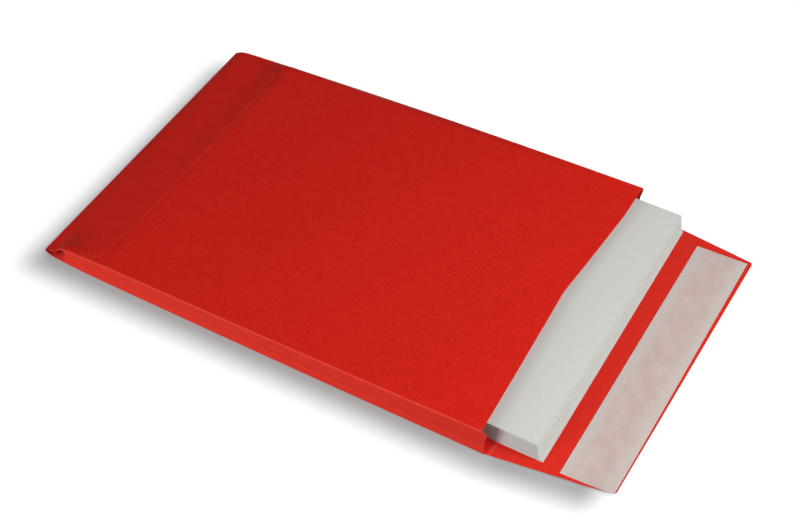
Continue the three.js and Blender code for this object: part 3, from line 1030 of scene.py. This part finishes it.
def painted_floor_shadow(tree):
    """The soft shadow painted on the floor: the object's outline moved away from the light and blurred. It
    is the product of a smooth step at each of its four sides. The near side follows the flap's taper. It
    goes from 0 to 1, and a little further beside the flap, which casts hardly any shadow of its own."""
    place = tree.nodes.new("ShaderNodeSeparateXYZ")
    tree.links.new(tree.nodes.new("ShaderNodeTexCoord").outputs["Object"], place.inputs[0])
    x, y = place.outputs["X"], place.outputs["Y"]
    mouth = (CLOSED_END + LENGTH) * MM
    taper = map_range(tree, x, mouth, CAD_BOUNDS[1][0], 0.0, CLOSURE_FLAP_NEAR_TAPER * MM, "LINEAR")
    from_near = arithmetic(tree, "SUBTRACT", y, taper)
    left = CAD_BOUNDS[0][0] + SHADE_SHIFT_X
    near = CAD_BOUNDS[0][1] + SHADE_SHIFT_Y
    right = CAD_BOUNDS[1][0] + SHADE_SHIFT_X
    far = CAD_BOUNDS[1][1] + SHADE_SHIFT_Y
    inside_left = map_range(tree, x, left - SHADE_BLUR, left + SHADE_BLUR, 0.0, 1.0)
    inside_near = map_range(tree, from_near, near - SHADE_BLUR, near + SHADE_BLUR, 0.0, 1.0)
    inside_right = map_range(tree, x, right - SHADE_BLUR, right - SHADE_SHIFT_X, 1.0, 0.0)
    inside_far = map_range(tree, y, far - SHADE_BLUR, far + SHADE_BLUR, 1.0, 0.0)
    along = arithmetic(tree, "MULTIPLY", inside_left, inside_right)
    across = arithmetic(tree, "MULTIPLY", inside_near, inside_far)
    beside_flap = map_range(tree, x, mouth - SHADE_BLUR, mouth + SHADE_BLUR, 1.0, SHADE_FLAP_SHARE)
    shade = arithmetic(tree, "MULTIPLY", along, across)
    return arithmetic(tree, "MULTIPLY", shade, beside_flap)


def make_floor():
    """A wide pale floor. It has its own lamp, which casts the object's real shadow on it, and what is seen
    of it gets a glow on top, so that it is white away from the shadow. The glow is dimmed in a painted soft
    shadow, where the light of a large lamp would be kept off it."""
    corners = ((-1, -1), (1, -1), (1, 1), (-1, 1))
    points = [(x * FLOOR_SIZE, y * FLOOR_SIZE, FLOOR_HEIGHT) for x, y in corners]
    mesh = bpy.data.meshes.new("floor")
    mesh.from_pydata(points, [], [(0, 1, 2, 3)])
    floor = bpy.data.objects.new("floor", mesh)
    bpy.context.scene.collection.objects.link(floor)
    material, tree, shader = new_material("pale_floor", roughness=1.0, specular=0.0)
    shader.inputs["Base Color"].default_value = (*grey(FLOOR_TONE), 1.0)
    shader.inputs["Emission Color"].default_value = (*grey(1.0), 1.0)
    dimmest = FLOOR_GLOW * (1.0 - SHADE_DEPTH * SHADE_FLAP_SHARE)
    glow = map_range(tree, painted_floor_shadow(tree), 0.0, SHADE_FLAP_SHARE, FLOOR_GLOW, dimmest, "LINEAR")
    seen_glow = arithmetic(tree, "MULTIPLY", seen_directly(tree), glow)
    tree.links.new(seen_glow, shader.inputs["Emission Strength"])
    mesh.materials.append(material)
    return floor


def make_world():
    """White where it is seen, and a plain soft light for everything else."""
    world = bpy.data.worlds.new("studio")
    world.use_nodes = True
    bpy.context.scene.world = world
    tree = world.node_tree
    background = tree.nodes["Background"]
    background.inputs["Color"].default_value = (*grey(1.0), 1.0)
    strength = map_range(tree, seen_directly(tree), 0.0, 1.0, AMBIENT, 1.0, "LINEAR")
    tree.links.new(strength, background.inputs["Strength"])


def make_softbox(name, place, target, size, power):
    """A square softbox that faces its target."""
    lamp = bpy.data.lights.new(name, "AREA")
    lamp.shape = "SQUARE"
    lamp.size = size
    lamp.energy = power
    softbox = bpy.data.objects.new(name, lamp)
    softbox.location = place
    softbox.rotation_mode = "QUATERNION"
    softbox.rotation_quaternion = (Vector(target) - Vector(place)).to_track_quat("-Z", "Y")
    bpy.context.scene.collection.objects.link(softbox)
    return softbox


def light_only(softbox, thing):
    """The softbox lights that one thing, and everything still casts its shadow."""
    lit = bpy.data.collections.new("lit_by_" + softbox.name)
    lit.objects.link(thing)
    softbox.light_linking.receiver_collection = lit


def make_camera():
    """The camera looks along its azimuth and elevation and is then rolled a little about its own axis."""
    data = bpy.data.cameras.new("camera")
    data.sensor_width = 36.0
    data.sensor_fit = "HORIZONTAL"
    data.lens = CAMERA_LENS
    data.clip_start = 0.05
    data.clip_end = 50.0
    camera = bpy.data.objects.new("camera", data)
    around = math.radians(CAMERA_AZIMUTH)
    above = math.radians(CAMERA_ELEVATION)
    flat = math.cos(above)
    ahead = Vector((-math.sin(around) * flat, math.cos(around) * flat, -math.sin(above)))
    level = ahead.to_track_quat("-Z", "Y")
    camera.location = CAMERA_PLACE
    camera.rotation_mode = "QUATERNION"
    camera.rotation_quaternion = level @ Quaternion((0.0, 0.0, 1.0), math.radians(CAMERA_ROLL))
    bpy.context.scene.collection.objects.link(camera)
    bpy.context.scene.camera = camera


make_camera()
make_envelope()
make_pile()
make_adhesive()
make_liner()
dress_film()
floor = make_floor()
make_world()
make_softbox("right_softbox", place=(0.74, -0.04, 0.55), target=(0.1, 0.0, 0.0), size=0.5, power=7.9)
make_softbox("front_softbox", place=(-0.36, -1.15, 0.36), target=(0.0, 0.0, 0.0), size=0.6, power=11.6)
shadow_softbox = make_softbox(
    "floor_softbox", place=(0.47, 1.1, 1.48), target=(0.0, 0.0, 0.0), size=1.6, power=45.0
)
light_only(shadow_softbox, floor)

bpy.context.scene.view_settings.view_transform = "Standard"
